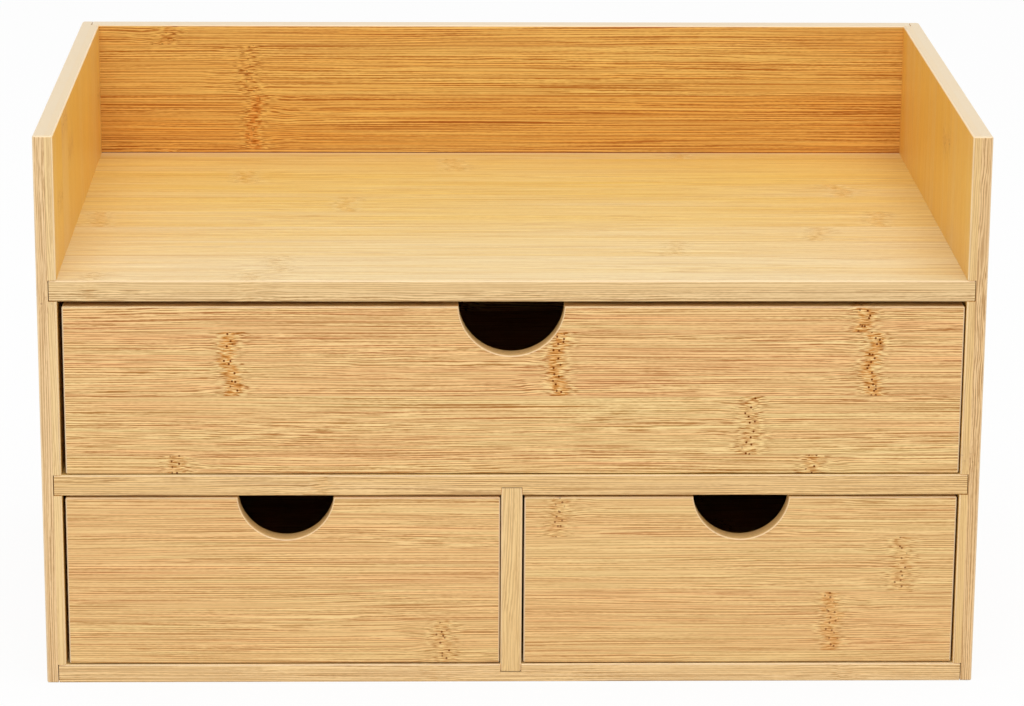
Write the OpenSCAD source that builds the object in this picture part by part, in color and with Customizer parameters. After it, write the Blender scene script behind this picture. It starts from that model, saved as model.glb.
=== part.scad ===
// Desktop drawer organizer in solid bamboo board.
// An open tray sits over one wide drawer and two small ones, side by side.
// Millimetres, +Z up. The origin is at the middle of the underside, the fronts
// face -Y, and each drawer slides out along -Y.

/* [Carcass] */
// Width over the two side panels
body_w = 330; // [280:1:400]
// Depth from the front edges to the rear face
body_d = 206; // [160:1:260]
// Thickness of the side panels
side_t = 7; // [6:0.1:10]
// Thickness of the tray shelf and the middle shelf
shelf_t = 7.6; // [6:0.1:10]
// Thickness of the bottom panel
bottom_t = 6.8; // [6:0.1:10]
// Thickness of the divider between the two small drawers
divider_t = 7.5; // [6:0.1:10]
// Thickness of the back panel
back_t = 7.6; // [5:0.1:10]
// Clear height of the bay for the wide drawer
upper_h = 63; // [50:0.1:90]
// Clear height of the bays for the two small drawers
lower_h = 63.1; // [50:0.1:90]
// Height of the side panels above the tray
tray_h = 51.2; // [20:0.1:90]

/* [Carcass joinery] */
// Depth of the housings and rear rebates that hold the board ends
housing = 3; // [2:0.1:4]
// Gap between a board's end and the floor of its housing
end_gap = 0.3; // [0.1:0.05:0.5]
// Eased edge on every board
ease = 0.5; // [0.3:0.1:1.2]
// Larger easing of the side panels' rear outer edges
rear_ease = 1.6; // [0.8:0.1:1.8]

/* [Drawer boards] */
// Thickness of the drawer fronts
front_t = 7; // [6:0.1:10]
// Thickness of the drawer sides
wall_t = 6; // [5:0.1:8]
// Thickness of the drawer backs
rear_t = 6; // [5:0.1:8]
// Thickness of the drawer bases
base_t = 3; // [2:0.1:5]
// Height of the base's underside above the runners
base_lift = 4; // [3:0.1:8]
// How far the drawer sides stop short of the front's upper edge
wall_drop = 4; // [2:0.1:12]
// How far each drawer side stands in from the end of its front
wall_inset = 0.6; // [0.3:0.1:1.5]

/* [Drawer joinery] */
// Depth of the rebates behind the front that hold the drawer sides
front_lap = 3.6; // [2:0.1:4.5]
// Depth of the rebates in the drawer sides that hold the drawer back
rear_lap = 3; // [2:0.1:4]
// Depth of the grooves that hold the base
groove = 3; // [2:0.1:4]
// Clearance over the base in its grooves
groove_play = 0.1; // [0.05:0.05:0.3]

/* [Thumb notches] */
// Radius of the notch in the wide drawer's front
wide_notch_r = 18.5; // [12:0.1:24]
// Height of that notch's centre above the front's upper edge
wide_notch_rise = 0.7; // [0:0.1:4]
// Radius of the notches in the small drawers' fronts
small_notch_r = 17; // [12:0.1:24]
// Height of their centres above the fronts' upper edges
small_notch_rise = 1.4; // [0:0.1:4]
// How far the wide drawer's notch stands to the right of its front's middle
wide_notch_shift = -1; // [-3:0.1:3]
// The same for the left drawer's notch
left_notch_shift = 0.9; // [-3:0.1:3]
// The same for the right drawer's notch
right_notch_shift = 0.1; // [-3:0.1:3]
// Eased rim of every notch
notch_ease = 0.4; // [0.2:0.1:1]

/* [Running clearances] */
// Side play of the wide drawer in its bay, both sides together
wide_play = 2; // [1.2:0.1:3]
// How far the wide drawer rests to the right of its bay's middle
wide_shift = 0.5; // [0:0.1:0.5]
// Side play of each small drawer in its bay, both sides together
small_play = 1.4; // [1.2:0.1:3]
// How far the left drawer rests to the right of its bay's middle
left_shift = 0.4; // [0:0.1:0.5]
// Gap over the wide drawer's front
wide_headroom = 1.8; // [0.6:0.1:3]
// Gap over the small drawers' fronts
small_headroom = 0.8; // [0.6:0.1:3]
// Gap between a drawer and the board that it slides on
run_gap = 0.3; // [0.2:0.05:0.5]
// How far the drawer fronts stand behind the carcass's front edges
front_recess = 0.5; // [0:0.1:2]
// Gap between a closed drawer and the back panel that stops it
stop_gap = 0.3; // [0.2:0.05:0.5]

/* [Hidden] */
$fn = 128;

// Colours: the boards are one natural bamboo, shaded by how the light falls on them
pale_bamboo = [0.93, 0.78, 0.58];
warm_bamboo = [0.87, 0.66, 0.38];
deep_bamboo = [0.80, 0.56, 0.28];

// Extra length of a cutting shape past the face that it opens through
past = 1;

// Heights of the carcass
middle_z = bottom_t + lower_h;
upper_z = middle_z + shelf_t;
tray_z = upper_z + upper_h;
tray_top = tray_z + shelf_t;
body_h = tray_top + tray_h;

// Places across and along the carcass
front_y = -body_d / 2;
bay_d = body_d - back_t;
inner_w = body_w - 2 * side_t;
small_bay_w = (inner_w - divider_t) / 2;
small_bay_x = (divider_t + small_bay_w) / 2;

// A board's end reaches this far into its housing
tongue = housing - end_gap;
housed_w = inner_w + 2 * tongue;

// Outer sizes of the drawers
wide_w = inner_w - wide_play;
wide_h = upper_h - wide_headroom - run_gap;
small_w = small_bay_w - small_play;
small_h = lower_h - small_headroom - run_gap;
drawer_d = bay_d - front_recess - stop_gap;
drawer_y = front_y + front_recess;

// Outline of a board's section, w by h from the origin. Each corner has its own
// easing, in the order low left, low right, high right, high left.
function eased_outline(w, h, e) = concat(
    e[0] > 0 ? [[0, e[0]], [e[0], 0]] : [[0, 0]],
    e[1] > 0 ? [[w - e[1], 0], [w, e[1]]] : [[w, 0]],
    e[2] > 0 ? [[w, h - e[2]], [w - e[2], h]] : [[w, h]],
    e[3] > 0 ? [[e[3], h], [0, h - e[3]]] : [[0, h]]
);

// Half the width across a drawer between its two sides
function inside_half(w) = w / 2 - wall_inset - wall_t;

// A prism with its outline in X and Z, running along +Y
module along_y(length, outline) {
    translate([0, length, 0])
        rotate([90, 0, 0])
            linear_extrude(height = length)
                polygon(outline);
}

// A prism with its outline in Y and Z, running along +X
module along_x(length, outline) {
    rotate([90, 0, 90])
        linear_extrude(height = length)
            polygon(outline);
}

// A prism with its outline in X and Y, running up +Z
module along_z(length, outline) {
    linear_extrude(height = length)
        polygon(outline);
}

// A board standing at the origin's +X +Y +Z corner with every edge eased.
// The upright edge at its right rear can have an easing of its own.
module eased_board(w, d, h, right_rear = ease) {
    intersection() {
        along_z(h, eased_outline(w, d, [ease, ease, right_rear, ease]));
        along_y(d, eased_outline(w, h, [ease, ease, ease, ease]));
        along_x(w, eased_outline(d, h, [ease, ease, ease, ease]));
    }
}

// Right side panel. Its inner face has a through housing for each shelf and a
// rebate down its rear edge for the back panel.
module side_panel() {
    translate([inner_w / 2, front_y, 0])
        difference() {
            eased_board(side_t, body_d, body_h, rear_ease);
            housing_slot(0, bottom_t);
            housing_slot(middle_z, shelf_t);
            housing_slot(tray_z, shelf_t);
            translate([-past, bay_d, -past])
                cube([housing + past, back_t + past, body_h + 2 * past]);
        }
}

// One housing in the side panel, from its front edge to the rear rebate
module housing_slot(z, thickness) {
    low = z > 0 ? z : -past;
    translate([-past, -past, low])
        cube([housing + past, bay_d + past, z + thickness - low]);
}

// A shelf with eased front edges, from its own underside up
module shelf_board(thickness) {
    translate([-housed_w / 2, front_y, 0])
        along_x(housed_w, eased_outline(bay_d, thickness, [ease, 0, 0, ease]));
}

// The slot across a board that an end of the divider sits in, from its floor up
module divider_slot() {
    translate([-divider_t / 2, front_y - past, 0])
        cube([divider_t, bay_d + 2 * past, housing + past]);
}

module left_side() {
    color(warm_bamboo)
        mirror([1, 0, 0]) side_panel();
}

module right_side() {
    color(warm_bamboo)
        side_panel();
}

module tray_shelf() {
    color(pale_bamboo)
        translate([0, 0, tray_z]) shelf_board(shelf_t);
}

module middle_shelf() {
    color(pale_bamboo)
        difference() {
            translate([0, 0, middle_z]) shelf_board(shelf_t);
            translate([0, 0, middle_z + housing]) mirror([0, 0, 1]) divider_slot();
        }
}

module bottom_panel() {
    color(pale_bamboo)
        difference() {
            shelf_board(bottom_t);
            translate([0, 0, bottom_t - housing]) divider_slot();
        }
}

module divider() {
    color(warm_bamboo)
        translate([-divider_t / 2, front_y, bottom_t - tongue])
            along_z(lower_h + 2 * tongue, eased_outline(divider_t, bay_d, [ease, ease, 0, 0]));
}

module back_panel() {
    color(deep_bamboo)
        translate([-housed_w / 2, front_y + bay_d, 0])
            along_x(housed_w, eased_outline(back_t, body_h, [0, ease, ease, ease]));
}

// The drawer boards below share one frame: X across from the drawer's middle,
// Y back from the front's face, and Z up from the runners.

// Round thumb notch in the upper edge of a front of height h, its rim eased. It
// stands shift to the right of the front's middle.
module thumb_notch(h, r, rise, shift) {
    translate([shift, 0, h + rise])
        rotate([-90, 0, 0]) {
            translate([0, 0, -past]) cylinder(h = front_t + 2 * past, r = r);
            translate([0, 0, -past])
                cylinder(h = past + notch_ease, r1 = r + notch_ease + past, r2 = r);
            translate([0, 0, front_t - notch_ease])
                cylinder(h = past + notch_ease, r1 = r, r2 = r + notch_ease + past);
        }
}

// Front, with a stopped rebate behind each end and a groove for the base
module front_board(w, h, r, rise, shift) {
    rebate_w = wall_inset + wall_t;
    groove_half = inside_half(w) + groove;
    color(pale_bamboo)
        difference() {
            translate([-w / 2, 0, 0]) eased_board(w, front_t, h);
            thumb_notch(h, r, rise, shift);
            for (end = [-1, 1])
                translate([end > 0 ? w / 2 - rebate_w : -w / 2 - past, front_t - front_lap, -past])
                    cube([rebate_w + past, front_lap + past, h - wall_drop + past]);
            translate([-groove_half, front_t - groove, base_lift])
                cube([2 * groove_half, groove + past, base_t + groove_play]);
        }
}

// Right wall, grooved for the base and rebated at the rear for the drawer back
module wall_board(w, h) {
    wall_h = h - wall_drop;
    start = front_t - front_lap;
    length = drawer_d - start;
    color(warm_bamboo)
        translate([inside_half(w), start, 0])
            difference() {
                intersection() {
                    along_y(length, eased_outline(wall_t, wall_h, [ease, ease, ease, ease]));
                    along_z(wall_h, eased_outline(wall_t, length, [0, 0, ease, 0]));
                }
                translate([-past, -past, base_lift])
                    cube([groove + past, length + 2 * past, base_t + groove_play]);
                translate([-past, length - rear_t, -past])
                    cube([rear_lap + past, rear_t + past, wall_h + 2 * past]);
            }
}

// Back, held in the walls' rebates and grooved for the base
module rear_board(w, h) {
    reach = inside_half(w) + rear_lap - end_gap;
    color(warm_bamboo)
        translate([-reach, drawer_d - rear_t, 0])
            difference() {
                along_x(2 * reach, eased_outline(rear_t, h - wall_drop, [ease, ease, ease, ease]));
                translate([-past, -past, base_lift])
                    cube([2 * (reach + past), groove + past, base_t + groove_play]);
            }
}

// Base, a thin board held in grooves on all four sides
module base_board(w) {
    reach = inside_half(w) + groove - end_gap;
    start = front_t - groove + end_gap;
    finish = drawer_d - rear_t + groove - end_gap;
    color(deep_bamboo)
        translate([-reach, start, base_lift])
            cube([2 * reach, finish - start, base_t]);
}

// Where each drawer stands when it is closed
module in_wide_bay() {
    translate([wide_shift, drawer_y, upper_z + run_gap]) children();
}

module in_left_bay() {
    translate([left_shift - small_bay_x, drawer_y, bottom_t + run_gap]) children();
}

module in_right_bay() {
    translate([small_bay_x, drawer_y, bottom_t + run_gap]) children();
}

module wide_drawer_front() {
    in_wide_bay() front_board(wide_w, wide_h, wide_notch_r, wide_notch_rise, wide_notch_shift);
}

module wide_drawer_left_wall() {
    in_wide_bay() mirror([1, 0, 0]) wall_board(wide_w, wide_h);
}

module wide_drawer_right_wall() {
    in_wide_bay() wall_board(wide_w, wide_h);
}

module wide_drawer_back() {
    in_wide_bay() rear_board(wide_w, wide_h);
}

module wide_drawer_base() {
    in_wide_bay() base_board(wide_w);
}

module left_drawer_front() {
    in_left_bay() front_board(small_w, small_h, small_notch_r, small_notch_rise, left_notch_shift);
}

module left_drawer_left_wall() {
    in_left_bay() mirror([1, 0, 0]) wall_board(small_w, small_h);
}

module left_drawer_right_wall() {
    in_left_bay() wall_board(small_w, small_h);
}

module left_drawer_back() {
    in_left_bay() rear_board(small_w, small_h);
}

module left_drawer_base() {
    in_left_bay() base_board(small_w);
}

module right_drawer_front() {
    in_right_bay() front_board(small_w, small_h, small_notch_r, small_notch_rise, right_notch_shift);
}

module right_drawer_left_wall() {
    in_right_bay() mirror([1, 0, 0]) wall_board(small_w, small_h);
}

module right_drawer_right_wall() {
    in_right_bay() wall_board(small_w, small_h);
}

module right_drawer_back() {
    in_right_bay() rear_board(small_w, small_h);
}

module right_drawer_base() {
    in_right_bay() base_board(small_w);
}

left_side();
right_side();
tray_shelf();
middle_shelf();
bottom_panel();
divider();
back_panel();
wide_drawer_front();
wide_drawer_left_wall();
wide_drawer_right_wall();
wide_drawer_back();
wide_drawer_base();
left_drawer_front();
left_drawer_left_wall();
left_drawer_right_wall();
left_drawer_back();
left_drawer_base();
right_drawer_front();
right_drawer_left_wall();
right_drawer_right_wall();
right_drawer_back();
right_drawer_base();
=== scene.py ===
import math
import random

import bmesh
import bpy
from mathutils import Matrix, Vector


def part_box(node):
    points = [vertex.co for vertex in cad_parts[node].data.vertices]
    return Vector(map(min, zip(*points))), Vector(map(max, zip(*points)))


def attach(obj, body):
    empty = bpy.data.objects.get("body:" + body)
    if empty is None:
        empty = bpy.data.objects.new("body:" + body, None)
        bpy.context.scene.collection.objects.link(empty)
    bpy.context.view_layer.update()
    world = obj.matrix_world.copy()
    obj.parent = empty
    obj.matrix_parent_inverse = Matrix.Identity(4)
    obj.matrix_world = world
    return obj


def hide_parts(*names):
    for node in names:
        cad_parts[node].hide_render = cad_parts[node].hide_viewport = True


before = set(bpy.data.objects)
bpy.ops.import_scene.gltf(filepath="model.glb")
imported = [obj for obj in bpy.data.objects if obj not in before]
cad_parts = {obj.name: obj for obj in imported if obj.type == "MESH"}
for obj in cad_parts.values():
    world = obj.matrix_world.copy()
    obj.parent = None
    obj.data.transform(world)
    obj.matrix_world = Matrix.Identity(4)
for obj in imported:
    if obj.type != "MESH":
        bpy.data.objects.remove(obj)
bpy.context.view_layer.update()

# ---------------------------------------------------------------------------
# Side panels. Two upright boards that the shelves and the bottom are housed in.
# Flat-pressed bamboo strips glued edge to edge with the grain upright, sanded,
# eased on every edge and lacquered.
# ---------------------------------------------------------------------------

mm = 0.001
X, Y, Z = 0, 1, 2


def shade(red, green, blue):
    """A colour given in screen values from 0 to 255, as the shaders take it."""
    def linear(v):
        v /= 255
        return v / 12.92 if v <= 0.04045 else ((v + 0.055) / 1.055) ** 2.4
    return (linear(red), linear(green), linear(blue), 1)


def wired(tree, kind, inputs=None, **settings):
    """A shader node with its settings, its inputs set to values or joined to sockets."""
    made = tree.nodes.new("ShaderNode" + kind)
    for key, value in settings.items():
        setattr(made, key, value)
    for key, value in (inputs or {}).items():
        if isinstance(value, bpy.types.NodeSocket):
            tree.links.new(value, made.inputs[key])
        else:
            made.inputs[key].default_value = value
    return made


def sums(tree, operation, *values, clamp=False):
    """One sum on numbers."""
    made = wired(tree, "Math", dict(enumerate(values)), operation=operation)
    made.use_clamp = clamp
    return made.outputs[0]


def joined(tree, operation, first, second):
    """One sum on two places or colours, taken part by part."""
    return wired(tree, "VectorMath", {0: first, 1: second}, operation=operation).outputs[0]


def rising(tree, value, low, high, to=1.0):
    """0 below low and `to` above high, with a smooth step between them."""
    return wired(tree, "MapRange", {"Value": value, "From Min": low, "From Max": high,
                                    "To Min": 0.0, "To Max": to},
                 interpolation_type="SMOOTHSTEP").outputs[0]


def falling(tree, value, low, high, to=1.0):
    """`to` below low and 0 above high, with a smooth step between them."""
    return wired(tree, "MapRange", {"Value": value, "From Min": low, "From Max": high,
                                    "To Min": to, "To Max": 0.0},
                 interpolation_type="SMOOTHSTEP").outputs[0]


def cloud(tree, place, along, across, detail=0.0, rough=0.5):
    """Noise from 0 to 1 with features `along` by `across` millimetres."""
    scaled = joined(tree, "MULTIPLY", place, (1 / along, 1 / across, 1 / across))
    return wired(tree, "TexNoise", {"Vector": scaled, "Scale": 1.0, "Detail": detail,
                                    "Roughness": rough}).outputs[0]


def swing(tree, value, width):
    """A value from 0 to 1 turned into one from -width / 2 to width / 2."""
    return sums(tree, "MULTIPLY_ADD", value, width, -width / 2)


def stained(tree, factor, under, over):
    """The colour `under` with `over` laid on it by factor."""
    made = wired(tree, "Mix", data_type="RGBA")
    for index, value in ((0, factor), (6, under), (7, over)):
        if isinstance(value, bpy.types.NodeSocket):
            tree.links.new(value, made.inputs[index])
        else:
            made.inputs[index].default_value = value
    return made.outputs[2]


def worn(tree, key, socket="Fac"):
    """The attribute of this name that the board carries."""
    return wired(tree, "Attribute", attribute_name=key).outputs[socket]


def nearest_knuckle(tree, along, shift):
    """How many millimetres along the grain this strip's nearest knuckle is, where its
    line is shifted."""
    here = sums(tree, "ADD", along, shift)
    here = wired(tree, "CombineXYZ", {0: here, 1: here, 2: here}).outputs[0]
    gap = joined(tree, "SUBTRACT", here, worn(tree, "knuckles", "Vector"))
    gap = wired(tree, "VectorMath", {0: gap}, operation="ABSOLUTE").outputs[0]
    gap = wired(tree, "SeparateXYZ", {0: gap}).outputs
    return sums(tree, "MINIMUM", sums(tree, "MINIMUM", gap[0], gap[1]), gap[2])


def fibre_lines(tree, own, near, band, pitch, waver):
    """Fine lines that stray a little, short and wavy by a knuckle and in patches. Gives
    the place with their straying in it, and 0 in pale wood to 1 in the darkest fibre."""
    thickness, patchy = 0.24, (0.54, 0.70)
    patches = cloud(tree, own, 70, 14)
    wavy = sums(tree, "MAXIMUM", near, rising(tree, patches, *patchy, waver))
    broken = rising(tree, sums(tree, "ADD", patches, worn(tree, "short")), *patchy)
    broken = sums(tree, "MAXIMUM", near, broken)
    drift = swing(tree, cloud(tree, own, 120, 17), 3.4 * waver)
    curl = swing(tree, cloud(tree, own, 16.0, 5.0), 0.9)
    curl = sums(tree, "MULTIPLY", curl, sums(tree, "MAXIMUM", wavy, band))
    off = sums(tree, "ADD", drift, curl)
    off = wired(tree, "CombineXYZ", {1: off, 2: off}).outputs[0]
    run = joined(tree, "ADD", own, off)

    long = sums(tree, "MULTIPLY_ADD", cloud(tree, run, 110, thickness), 0.85, -0.075)
    long = sums(tree, "MULTIPLY_ADD", cloud(tree, run, 8.0, thickness), 0.3, long)
    lines = wired(tree, "Mix", {0: sums(tree, "MULTIPLY", broken, 0.75), 2: long,
                                3: cloud(tree, run, 11.0, thickness)}).outputs[0]

    # Over the single fibres lie thicker ones, a rhythm across the grain, and flecks
    coarse = swing(tree, cloud(tree, run, 140, 0.9, 1.0), 0.12)
    turns = wired(tree, "VectorMath", {0: run, 1: (0, math.tau / pitch[0], math.tau / pitch[1])},
                  operation="DOT_PRODUCT").outputs["Value"]
    turns = sums(tree, "MULTIPLY_ADD", cloud(tree, run, 60, 1.5), 9.0, turns)
    coarse = sums(tree, "MULTIPLY_ADD", sums(tree, "SINE", turns), 0.16, coarse)
    coarse = sums(tree, "ADD", coarse, swing(tree, cloud(tree, run, 2.0, thickness), 0.25))
    lines = rising(tree, sums(tree, "ADD", lines, coarse), 0.34, 0.72)

    # Some bands are busy with fibre and others nearly plain
    busy = rising(tree, cloud(tree, run, 70, 3.0, 1.0), 0.30, 0.66)
    busy = sums(tree, "MULTIPLY_ADD", busy, 0.5, 0.5)
    busy = sums(tree, "MULTIPLY", busy, worn(tree, "figure"))
    lines = wired(tree, "Mix", {0: busy, 2: 0.35, 3: lines}).outputs[0]
    return run, lines


def knuckles_over(tree, colour, own, run, gap, shown, pale_wood, knuckle, pored):
    """The colour with the knuckles laid over it: a ragged golden patch, pale and dark
    dashes along the grain, and pores. Gives the dashes and the pores as well."""
    pore_brown = shade(116, 56, 6)
    spread = sums(tree, "ADD", gap, swing(tree, cloud(tree, run, 4.0, 0.5), 5.0))
    ripe = rising(tree, worn(tree, "tone"), 0.25, 0.65)
    ripe = sums(tree, "MULTIPLY_ADD", ripe, 0.8, 0.2)
    patch = sums(tree, "MULTIPLY", falling(tree, spread, 1.4, 3.6, 0.75), shown)
    colour = stained(tree, sums(tree, "MULTIPLY", patch, ripe), colour, knuckle[0])

    dashes = sums(tree, "SUBTRACT", cloud(tree, run, 2.6, 0.20), 0.5)
    dash_colour = stained(tree, rising(tree, dashes, -0.01, 0.01), pale_wood, knuckle[1])
    dashes = rising(tree, sums(tree, "ABSOLUTE", dashes), 0.045, 0.16, 0.85)
    dashes = sums(tree, "MULTIPLY", dashes, falling(tree, spread, 2.5, 9.0))
    colour = stained(tree, sums(tree, "MULTIPLY", dashes, shown), colour, dash_colour)

    flat = wired(tree, "SeparateXYZ", {0: own}).outputs
    flat = wired(tree, "CombineXYZ", {0: flat[0], 1: sums(tree, "ADD", flat[1], flat[2])})
    pores = wired(tree, "TexVoronoi", {"Vector": flat.outputs[0], "Scale": 1 / 2.4},
                  voronoi_dimensions="2D").outputs["Distance"]
    pores = sums(tree, "MULTIPLY", falling(tree, pores, 0.12, 0.20), falling(tree, gap, 1.2, 2.2))
    pores = sums(tree, "MULTIPLY", pores, sums(tree, "MULTIPLY", shown, pored))
    return stained(tree, pores, colour, pore_brown), dashes, pores


def lacquered_bamboo(name, pale, gold, knuckle, pitch=(0.8, 0.8), pored=1.0, waver=1.0,
                     roughness=0.42):
    """Bamboo strips under clear satin lacquer. pale and gold each give the wood and its
    dark fibre, in the palest and the deepest strips, and knuckle gives a knuckle's patch
    and its dark dashes. pitch is how far apart the fibres lie across the grain and through
    the board, pored how far the knuckles' pores show, and waver how far the fibres stray.
    Every board carries its own figure as attributes:
    - lay: millimetres along the grain, across it and through the board
    - strip, tone: a number of the strip's own from 0 to 1, and its shade
    - knuckles, seam: where its knuckles are, and how far off its glue lines are
    - figure, short: how strongly it shows its fibres, and how many are broken
    - end and the pale mark: 1 on end grain, and how far a face is painted pale, partly as
      sanded wood on rounded edges and partly as painted highlight and painted light
    - sawn, bare: the share and the colour of sawn wood"""
    # The pale laid over rounded edges is partly sanded wood and partly a painted highlight, and
    # over bands of the tray's floor it is painted light
    sanded_pale_and_highlight, fibre_in_sawn = shade(252, 228, 190), (0.47, 0.38, 0.26)
    material = bpy.data.materials.new(name)
    material.use_nodes = True
    tree = material.node_tree
    tree.nodes.clear()

    # Each strip has wood of its own, so it takes its pattern from another place
    lay, strip, figure = worn(tree, "lay", "Vector"), worn(tree, "strip"), worn(tree, "figure")
    along = wired(tree, "SeparateXYZ", {0: lay}).outputs[0]
    apart = wired(tree, "CombineXYZ", {2: sums(tree, "MULTIPLY", strip, 37.0)}).outputs[0]
    own = joined(tree, "ADD", lay, apart)

    # How far off the strip's nearest knuckle is, its line wandering or leaning a little
    wander = swing(tree, cloud(tree, own, 60, 11.0, 1.0), 12.0)
    lean = swing(tree, rising(tree, strip, 0.49, 0.51), 12.0)
    side_grain = sums(tree, "SUBTRACT", 1.0, worn(tree, "end"))
    gap = nearest_knuckle(tree, along, wander)
    band = sums(tree, "MULTIPLY", falling(tree, gap, 1.6, 3.2), side_grain)
    near = falling(tree, nearest_knuckle(tree, along, lean), 4.0, 15.0)
    near = sums(tree, "MULTIPLY", near, side_grain)
    run, lines = fibre_lines(tree, own, near, band, pitch, waver)

    # Tone: each strip a shade of its own, with bands of warmer and paler fibre
    bands = swing(tree, cloud(tree, run, 80, 0.9, 2.0, 0.6), 1.9)
    bands = sums(tree, "MULTIPLY_ADD", bands, figure, worn(tree, "tone"))
    tone = swing(tree, cloud(tree, own, 160, 9, 1.0), 0.8)
    tone = sums(tree, "ADD", tone, bands, clamp=True)
    colour = stained(tree, tone, stained(tree, lines, *pale), stained(tree, lines, *gold))
    colour, dashes, pores = knuckles_over(tree, colour, own, run, gap,
                                          sums(tree, "MULTIPLY", side_grain, figure),
                                          pale[0], knuckle, pored)

    # Glue lines between strips, sawn edges and ends, and faces painted pale: the rounded edges
    # partly as sanded wood and partly as painted highlight, and bands as painted light
    sides = wired(tree, "SeparateXYZ", {0: worn(tree, "seam", "Vector")}).outputs
    seam = sums(tree, "MINIMUM", sums(tree, "MINIMUM", sides[0], sides[1]), sides[2])
    seam = falling(tree, seam, 0.05, 0.35, 0.35)
    colour = stained(tree, sums(tree, "MULTIPLY", seam, figure), colour, gold[1])
    bare = worn(tree, "bare", "Vector")
    sawn = stained(tree, sums(tree, "MULTIPLY", lines, figure), bare,
                   joined(tree, "MULTIPLY", bare, fibre_in_sawn))
    colour = stained(tree, worn(tree, "sawn"), colour, sawn)
    sanding_and_highlight = sums(tree, "MULTIPLY", worn(tree, "sanding_and_highlight"), 0.45)
    colour = stained(tree, sanding_and_highlight, colour, sanded_pale_and_highlight)

    # The lacquer sinks a little over dark fibre and pores, and shines less there
    height = sums(tree, "MULTIPLY_ADD", lines, -0.6, sums(tree, "MULTIPLY", pores, -1.0))
    bump = wired(tree, "Bump", {"Height": height, "Strength": 0.3, "Distance": 0.05 * mm})
    dull = sums(tree, "MULTIPLY_ADD", lines, 0.10, roughness - 0.03)
    sheen = sums(tree, "MULTIPLY_ADD", sums(tree, "MAXIMUM", pores, dashes), -0.3, 0.35)
    skin = wired(tree, "BsdfPrincipled", {"Base Color": colour, "Roughness": dull,
                                          "Specular IOR Level": sheen,
                                          "Normal": bump.outputs[0], "Coat Weight": 0.1,
                                          "Coat Roughness": 0.3})
    wired(tree, "OutputMaterial", {"Surface": skin.outputs[0]})
    return material


def sanded_board(node, cuts, sanded):
    """The sawn board's mesh with its eased edges sanded round, cut from side to side at
    each of the cuts, given as an axis and a place on it."""
    shape = bmesh.new()
    shape.from_mesh(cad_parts[node].data)
    bmesh.ops.remove_doubles(shape, verts=shape.verts, dist=2e-6)
    bmesh.ops.dissolve_limit(shape, angle_limit=math.radians(0.5), verts=shape.verts,
                             edges=shape.edges)

    def eased(face):
        return max(abs(c) for c in face.normal) < 0.95

    rim = [e for e in shape.edges if e.is_manifold and e.calc_face_angle(0) > math.radians(30)
           and any(eased(f) for f in e.link_faces)]
    if rim:
        bmesh.ops.bevel(shape, geom=rim, offset=sanded * mm, offset_type="OFFSET", segments=2,
                        profile=0.5, affect="EDGES", clamp_overlap=True, material=-1)
    for axis, line in cuts:
        at, square = Vector((0, 0, 0)), Vector((0, 0, 0))
        at[axis], square[axis] = line * mm, 1
        bmesh.ops.bisect_plane(shape, geom=shape.verts[:] + shape.edges[:] + shape.faces[:],
                               plane_co=at, plane_no=square, dist=1e-7)

    board = bpy.data.meshes.new(node + "_board")
    shape.normal_update()
    shape.to_mesh(board)
    shape.free()
    # Drop what the sawn board carried on its normals, which sanding has changed
    for old in [a.name for a in board.attributes if a.name in ("custom_normal", "sharp_face")]:
        board.attributes.remove(board.attributes[old])
    return board


def placed_glue(dice, start, end):
    """Glue lines across a board, from one edge to the other, left to chance."""
    narrowest, widest, thinnest_last = 20, 22.5, 3
    places, line = [], start + dice.uniform(6, 21)
    while line < end - thinnest_last:
        places.append(line)
        line += dice.uniform(narrowest, widest)
    return places


def placed_knuckles(dice, start, end):
    """Up to three knuckles along one strip, from one end to the other, left to chance."""
    closest, furthest = 130, 230
    places, place = [], start - dice.uniform(0, 200)
    while place < end:
        places.append(place)
        place += dice.uniform(closest, furthest)
    return places[-3:]


def sawn_wood(wide, cut, ending, ply, figure, edges):
    """How strongly a face shows its fibres, and the share and colour of sawn wood in it.
    It is one of the board's wide faces, or cut inside its outline, or on an end, or else
    on an edge of that ply."""
    if wide:
        return figure, 0.0, (0, 0, 0)
    if cut:
        return 0.6, 0.8, (250, 206, 138)
    if ending:
        return 0.3, 0.75, (214, 200, 174)
    return edges[min(ply, len(edges) - 1)]


def marked(board, marks):
    """Writes each list of marks onto the board, for its finish to read."""
    for key, values in marks.items():
        vector = key in ("lay", "knuckles", "seam", "bare")
        domain = {"lay": "POINT", "seam": "CORNER"}.get(key, "FACE")
        mark = board.attributes.new(key, "FLOAT_VECTOR" if vector else "FLOAT", domain)
        mark.data.foreach_set("vector" if vector else "value", values)


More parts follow.
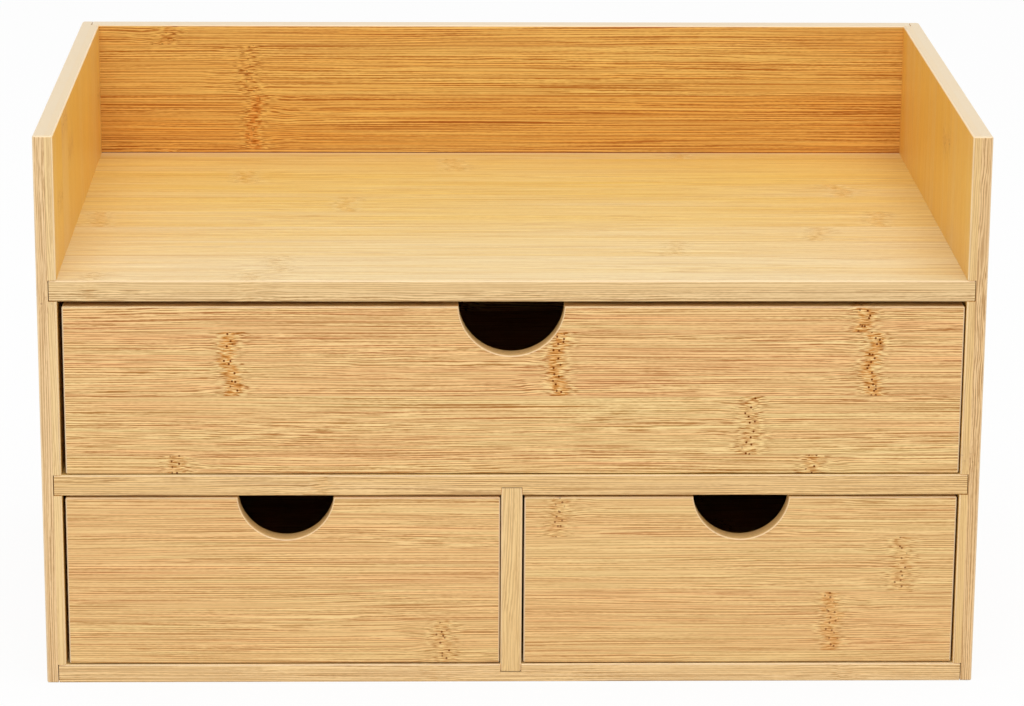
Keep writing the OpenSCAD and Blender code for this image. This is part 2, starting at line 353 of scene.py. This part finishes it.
def glued_board(node, body, finish, grain, across, seed, glue=None, knuckles=None,
                tones=None, figure=1.0, short=0.0, plies=(), deeper=(0.0, 0.0),
                edges=((1.0, 0.0, (220, 180, 130)),), sanded=0.16, painted_light_bands=(), dark_joint_lines=()):
    """A board glued up from strips. It is the sawn board with its eased edges sanded
    round, cut at its glue lines, and marked with the figure of each strip. grain and
    across are the axes along and across its strips.
    - glue, plies: glue lines, as places across the grain and through the board
    - knuckles: places along the grain, with one list for each strip
    - tones, deeper: each strip's shade, pale 0 to gold 1, and what each ply adds to it
    - figure: how strongly the faces show their fibres
    - short: how many fibres are broken, above 0 more and below 0 fewer
    - edges: for each ply, how strongly its edges show their fibres, and the share and
      colour of sawn wood in them
    - sanded: how far the eased edges are rounded
    - the last two: bands painted pale, which is painted light, and dark lines along a
      joint on a face. Each has the side that its face looks to, -1 or 1, and its start and
      end across the grain, and a pale band how pale it is as well.
    The board's own dice place the glue, knuckles and tones that aren't given."""
    joint_brown, nowhere = (158, 84, 2), 9999.0
    dice = random.Random(seed)
    through = 3 - grain - across
    low, high = ([c / mm for c in corner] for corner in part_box(node))
    if glue is None:
        glue = placed_glue(dice, low[across], high[across])
    if knuckles is None:
        knuckles = [placed_knuckles(dice, low[grain], high[grain]) for _ in range(len(glue) + 1)]

    cuts = [(across, line) for line in glue] + [(through, line) for line in plies]
    for _, start, end, *_ in (*painted_light_bands, *dark_joint_lines):
        cuts += [(across, start), (across, end)]
    board = sanded_board(node, cuts, sanded)

    # Figure of each strip, drawn once and shared by its faces
    seeds = [[dice.random() for _ in range(len(plies) + 1)] for _ in range(len(glue) + 1)]
    if tones is None:
        tones = [dice.uniform(0.25, 0.7) for _ in seeds]
    shift = [dice.uniform(-400, 400) for _ in range(2)]

    def on(band, normal, centre):
        side, start, end = band[:3]
        return side * normal[through] > 0.8 and start < centre[across] < end

    marks = {key: [] for key in ("lay", "strip", "tone", "figure", "short", "sanding_and_highlight", "end", "sawn",
                                 "bare", "knuckles", "seam")}
    for v in board.vertices:
        marks["lay"] += (v.co[grain] / mm, v.co[across] / mm + shift[0],
                         v.co[through] / mm + shift[1])
    for face in board.polygons:
        n, centre = face.normal, face.center / mm
        strip = sum(line < centre[across] for line in glue)
        ply = sum(line < centre[through] for line in plies)
        squarest = max(abs(q) for q in n)
        face.use_smooth = squarest < 0.9999
        wide, ending = abs(n[through]) > 0.8, abs(n[grain]) > 0.7
        # Sawn inside the board's outline, as a notch is
        cut = not wide and all(low[k] + 0.3 < centre[k] < high[k] - 0.3 for k in (grain, across))
        strength, share, bare = sawn_wood(wide, cut, ending, ply, figure, edges)
        # A dark line along a joint, where one covers the face
        if any(on(band, n, centre) for band in dark_joint_lines):
            share, bare = 1.0, joint_brown
        # How pale the face is painted where a band of painted light covers it
        pale = max([band[3] for band in painted_light_bands if on(band, n, centre)] + [0.0])
        # The rounded edges, painted pale partly as sanded wood and partly as painted highlight,
        # apart from those inside a notch and those underneath, which stay darker as painted shade
        if squarest < 0.97 and n[Z] > -0.3 and not (cut and abs(n[through]) < 0.3):
            pale = 1.0
        marks["strip"].append(seeds[strip][ply])
        marks["tone"].append(tones[strip] + deeper[ply])
        marks["figure"].append(strength)
        marks["short"].append(short)
        marks["sawn"].append(share)
        marks["bare"] += shade(*bare)[:3]
        marks["sanding_and_highlight"].append(pale)
        marks["end"].append(1.0 if ending and not cut else 0.0)
        marks["knuckles"] += (list(knuckles[strip]) + [nowhere] * 3)[:3]
        before = glue[strip - 1] if strip > 0 else -nowhere
        after = glue[strip] if strip < len(glue) else nowhere
        for corner in face.loop_indices:
            here = board.vertices[board.loops[corner].vertex_index].co / mm
            marks["seam"] += (here[across] - before, after - here[across],
                              min([abs(here[through] - line) for line in plies] + [nowhere]))
    marked(board, marks)

    board.materials.append(finish)
    piece = bpy.data.objects.new(node + "_board", board)
    bpy.context.scene.collection.objects.link(piece)
    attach(piece, body)
    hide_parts(node)
    return piece


side_bamboo = lacquered_bamboo("side_bamboo",
                               pale=(shade(250, 216, 150), shade(202, 148, 80)),
                               gold=(shade(253, 206, 96), shade(208, 140, 46)),
                               knuckle=(shade(226, 168, 84), shade(150, 90, 10)))
side_tones = [0.4, 0.6, 0.35, 0.5, 0.7, 0.4, 0.6, 0.5, 0.35, 0.5, 0.4]
ply_line = 161.0
# Each side's inner ply, which faces into the tray, is a deeper gold than its outer ply: painted
# shade, for the warm shade inside the tray.
for side, seed, ply, deeper, edges in (
        ("left_side", 11, -ply_line, (-0.3, 0.4),
         ((1.0, 0.75, (243, 208, 161)), (0.7, 0.75, (245, 217, 168)))),
        ("right_side", 12, ply_line, (0.4, -0.3),
         ((0.7, 0.75, (236, 202, 148)), (1.0, 0.75, (233, 194, 144))))):
    glued_board(side, "carcass", side_bamboo, Z, Y, seed, figure=0.4,
                tones=side_tones, plies=[ply], deeper=deeper, edges=edges)

# ---------------------------------------------------------------------------
# Bottom panel and middle shelf. Level boards whose ends sit in the side panels'
# housings, with a slot across each for the divider. The grain runs from side to
# side, and their front edges are eased above and below.
# ---------------------------------------------------------------------------

shelf_bamboo = lacquered_bamboo("shelf_bamboo",
                                pale=(shade(242, 223, 172), shade(186, 142, 84)),
                                gold=(shade(241, 207, 112), shade(182, 124, 48)),
                                knuckle=(shade(220, 168, 72), shade(152, 94, 6)),
                                pitch=(1.4, 0.8), pored=0.2, waver=0.4)
strip_width = 21.5
glued_board("bottom_panel", "carcass", shelf_bamboo, X, Y, 21,
            glue=[-82.0 + strip_width * n for n in range(9)],
            knuckles=[[-30, 120], [-110, 60], [10], [-60, 130], [90], [-140, 0], [50], [-90, 150],
                      [20], [-50]],
            edges=((1.0, 0.75, (255, 215, 157)),))
glued_board("middle_shelf", "carcass", shelf_bamboo, X, Y, 22,
            glue=[-84.0 + strip_width * n for n in range(9)],
            knuckles=[[-68], [100], [-20], [60], [-110, 90], [0], [-60], [120], [-30], [70]],
            edges=((1.0, 0.75, (245, 203, 144)),))

# ---------------------------------------------------------------------------
# Divider. An upright board between the two small drawers, its ends let into the
# bottom panel and the middle shelf. The grain is upright.
# ---------------------------------------------------------------------------

glued_board("divider", "carcass", side_bamboo, Z, Y, 31,
            edges=((0.7, 0.75, (240, 208, 155)),))

# ---------------------------------------------------------------------------
# Tray shelf. The roof of the wide drawer's bay and the floor of the open tray,
# housed in the side panels like the shelves below it. Its top is painted pale where it
# meets the back panel, and its strips pale at the front and gold further back: painted light and
# shade.
# ---------------------------------------------------------------------------

upwards = 1
# The strips' tones run from pale at the front to gold at the back: a painted reflection of the
# white light at the front, and painted shade under the tray's walls further back. The last strips
# are paler again, painted light against the shade by the back panel.
glued_board("tray_shelf", "carcass", shelf_bamboo, X, Y, 41,
            glue=[-91.6, -68.4, -47.0, -25.6, -2.4, 20.6, 42.6, 63.6, 84.6],
            knuckles=[[-93, -145], [-82], [60], [112], [-150, 136], [-60], [127], [-98], [-18],
                      [70]],
            tones=[0.1, 0.2, 0.35, 0.45, 0.65, 0.75, 0.7, 0.85, 0.8, 0.65], figure=0.62,
            painted_light_bands=[(upwards, 94.1, 95.5, 0.7), (upwards, 92.6, 94.1, 0.4),
                    (upwards, 90.0, 92.6, 0.15)],
            plies=[144.8], edges=((1.0, 0.75, (245, 207, 150)), (0.7, 0.75, (242, 204, 145))))

# ---------------------------------------------------------------------------
# Back panel. One board in rebates behind both side panels, from the underside to
# the top, that closes the bays and the tray. Its strips are of a deeper gold, and
# a dark line runs along its joint with the tray's floor.
# ---------------------------------------------------------------------------

back_bamboo = lacquered_bamboo("back_bamboo",
                               pale=(shade(246, 205, 114), shade(180, 110, 18)),
                               gold=(shade(238, 176, 78), shade(168, 88, 4)),
                               knuckle=(shade(218, 134, 42), shade(156, 78, 6)),
                               pitch=(0.95, 0.8), pored=0.35, waver=0.25)
forwards = -1
glued_board("back_panel", "carcass", back_bamboo, X, Z, 51,
            glue=[18.0, 39.5, 61.0, 82.5, 104.0, 126.0, 149.6, 171.3, 191.3],
            knuckles=[[20], [-120, 90], [-30], [140], [60], [-80, 110], [-133], [-97], [-98.5],
                      [-132]],
            short=-0.12, edges=((0.3, 0.8, (223, 210, 184)),),
            dark_joint_lines=[(forwards, 148.1, 148.45)])

# ---------------------------------------------------------------------------
# Drawer fronts. Boards with a round thumb notch cut in the upper edge, the wide
# one above the two small ones. The grain runs from end to end.
# ---------------------------------------------------------------------------

front_bamboo = lacquered_bamboo("front_bamboo",
                                pale=(shade(248, 218, 152), shade(172, 120, 42)),
                                gold=(shade(249, 197, 132), shade(172, 102, 42)),
                                knuckle=(shade(216, 141, 48), shade(158, 92, 14)), waver=0.5)
glued_board("wide_drawer_front", "wide_drawer", front_bamboo, X, Z, 61,
            glue=[84.7, 106.3, 129.5], figure=1.1, short=0.14, tones=[0.4, 0.35, 0.6, 0.55],
            knuckles=[[-118.2, 104.9], [83.4], [-97.8, 16.9, 125.3], [121.6]])
glued_board("left_drawer_front", "left_drawer", front_bamboo, X, Z, 62,
            glue=[23.4, 44.8], figure=0.85, tones=[0.35, 0.55, 0.45],
            knuckles=[[-23.5], [], []])
glued_board("right_drawer_front", "right_drawer", front_bamboo, X, Z, 63,
            glue=[11.7, 33.6, 54.2], figure=0.75, tones=[0.45, 0.55, 0.35, 0.35],
            knuckles=[[], [113.7], [139.7], [17.0]])

# ---------------------------------------------------------------------------
# Drawer boxes. Two walls and a back behind each front, joined in rebates, and a
# thin base held in grooves on all four sides. The grain runs along each board.
# ---------------------------------------------------------------------------

drawer_bamboo = lacquered_bamboo("drawer_bamboo",
                                 pale=(shade(248, 212, 156), shade(184, 136, 74)),
                                 gold=(shade(240, 190, 120), shade(174, 116, 54)),
                                 knuckle=(shade(214, 156, 84), shade(136, 76, 6)))
base_board = lacquered_bamboo("base_board",
                              pale=(shade(242, 206, 150), shade(180, 132, 72)),
                              gold=(shade(232, 182, 114), shade(168, 112, 52)),
                              knuckle=(shade(208, 150, 80), shade(132, 74, 8)), roughness=0.5)
for number, drawer in enumerate(("wide_drawer", "left_drawer", "right_drawer")):
    for place, grain, across, seed in (("left_wall", Y, Z, 79), ("right_wall", Y, Z, 80),
                                       ("back", X, Z, 74)):
        glued_board(drawer + "_" + place, drawer, drawer_bamboo, grain, across,
                    seed + 10 * number, sanded=0.15)
    glued_board(drawer + "_base", drawer, base_board, X, Y, 79 + 10 * number)

# ---------------------------------------------------------------------------
# Studio: a white floor, soft light from all round with more from above and in
# front, and the camera a little above the tray.
# ---------------------------------------------------------------------------

white, floor_grey = (1, 1, 1, 1), (0.86, 0.86, 0.86, 1)
flooring = bmesh.new()
bmesh.ops.create_grid(flooring, x_segments=8, y_segments=8, size=6.0)
floor_mesh = bpy.data.meshes.new("studio_floor")
flooring.to_mesh(floor_mesh)
flooring.free()
floor = bpy.data.objects.new("studio_floor", floor_mesh)
bpy.context.scene.collection.objects.link(floor)
floor_paint = bpy.data.materials.new("floor_paint")
floor_paint.use_nodes = True
paint = floor_paint.node_tree
paint.nodes.clear()
matt = wired(paint, "BsdfDiffuse", {"Color": floor_grey}).outputs[0]
glow = wired(paint, "Emission", {"Color": white, "Strength": 1.0}).outputs[0]


def looked_at(tree, share):
    """share where a thing is seen straight or mirrored, and 0 where it only gives light."""
    ray = wired(tree, "LightPath").outputs
    seen = sums(tree, "MAXIMUM", ray["Is Glossy Ray"], ray["Is Transmission Ray"])
    return sums(tree, "MULTIPLY", sums(tree, "MAXIMUM", seen, ray["Is Camera Ray"]), share)


both = wired(paint, "MixShader", {0: looked_at(paint, 0.92), 1: matt, 2: glow}).outputs[0]
wired(paint, "OutputMaterial", {"Surface": both})
floor_mesh.materials.append(floor_paint)

world = bpy.data.worlds.new("studio")
bpy.context.scene.world = world
world.use_nodes = True
sky = world.node_tree
sky.nodes.clear()
lighting = wired(sky, "Background", {"Color": white, "Strength": 0.65}).outputs[0]
backdrop = wired(sky, "Background", {"Color": white, "Strength": 1.0}).outputs[0]
either = wired(sky, "MixShader", {0: looked_at(sky, 1.0), 1: lighting, 2: backdrop}).outputs[0]
wired(sky, "OutputWorld", {"Surface": either})


def softbox(name, place, aim, width, height, power):
    """A soft rectangular lamp aimed at a point."""
    lamp = bpy.data.lights.new(name, "AREA")
    lamp.shape, lamp.size, lamp.size_y, lamp.energy = "RECTANGLE", width, height, power
    body = bpy.data.objects.new(name, lamp)
    body.location = place
    body.rotation_euler = (Vector(aim) - Vector(place)).to_track_quat("-Z", "Y").to_euler()
    bpy.context.scene.collection.objects.link(body)


mid_height = (0, 0, 0.1)
softbox("front_softbox", (-0.25, -1.9, 1.5), mid_height, width=1.6, height=1.2, power=13.2)
softbox("top_softbox", (0.2, -0.1, 2.0), mid_height, width=1.6, height=1.6, power=17.6)

camera = bpy.data.cameras.new("camera")
camera.lens, camera.sensor_width, camera.sensor_fit = 134.918, 36.0, "HORIZONTAL"
eye = bpy.data.objects.new("camera", camera)
bpy.context.scene.collection.objects.link(eye)
tripod = (-0.032331, -1.388458, 0.4875)
turn, tip, roll = math.radians(1.42834), math.radians(15.86488), math.radians(0.36746)
forward = Vector((math.sin(turn) * math.cos(tip), math.cos(turn) * math.cos(tip), -math.sin(tip)))
level = Vector((math.cos(turn), -math.sin(turn), 0))
upright = level.cross(forward)
right = math.cos(roll) * level + math.sin(roll) * upright
up = math.cos(roll) * upright - math.sin(roll) * level
aimed = Matrix((right, up, -forward)).transposed().to_4x4()
eye.matrix_world = Matrix.Translation(tripod) @ aimed
bpy.context.scene.camera = eye
bpy.context.scene.view_settings.view_transform = "Standard"
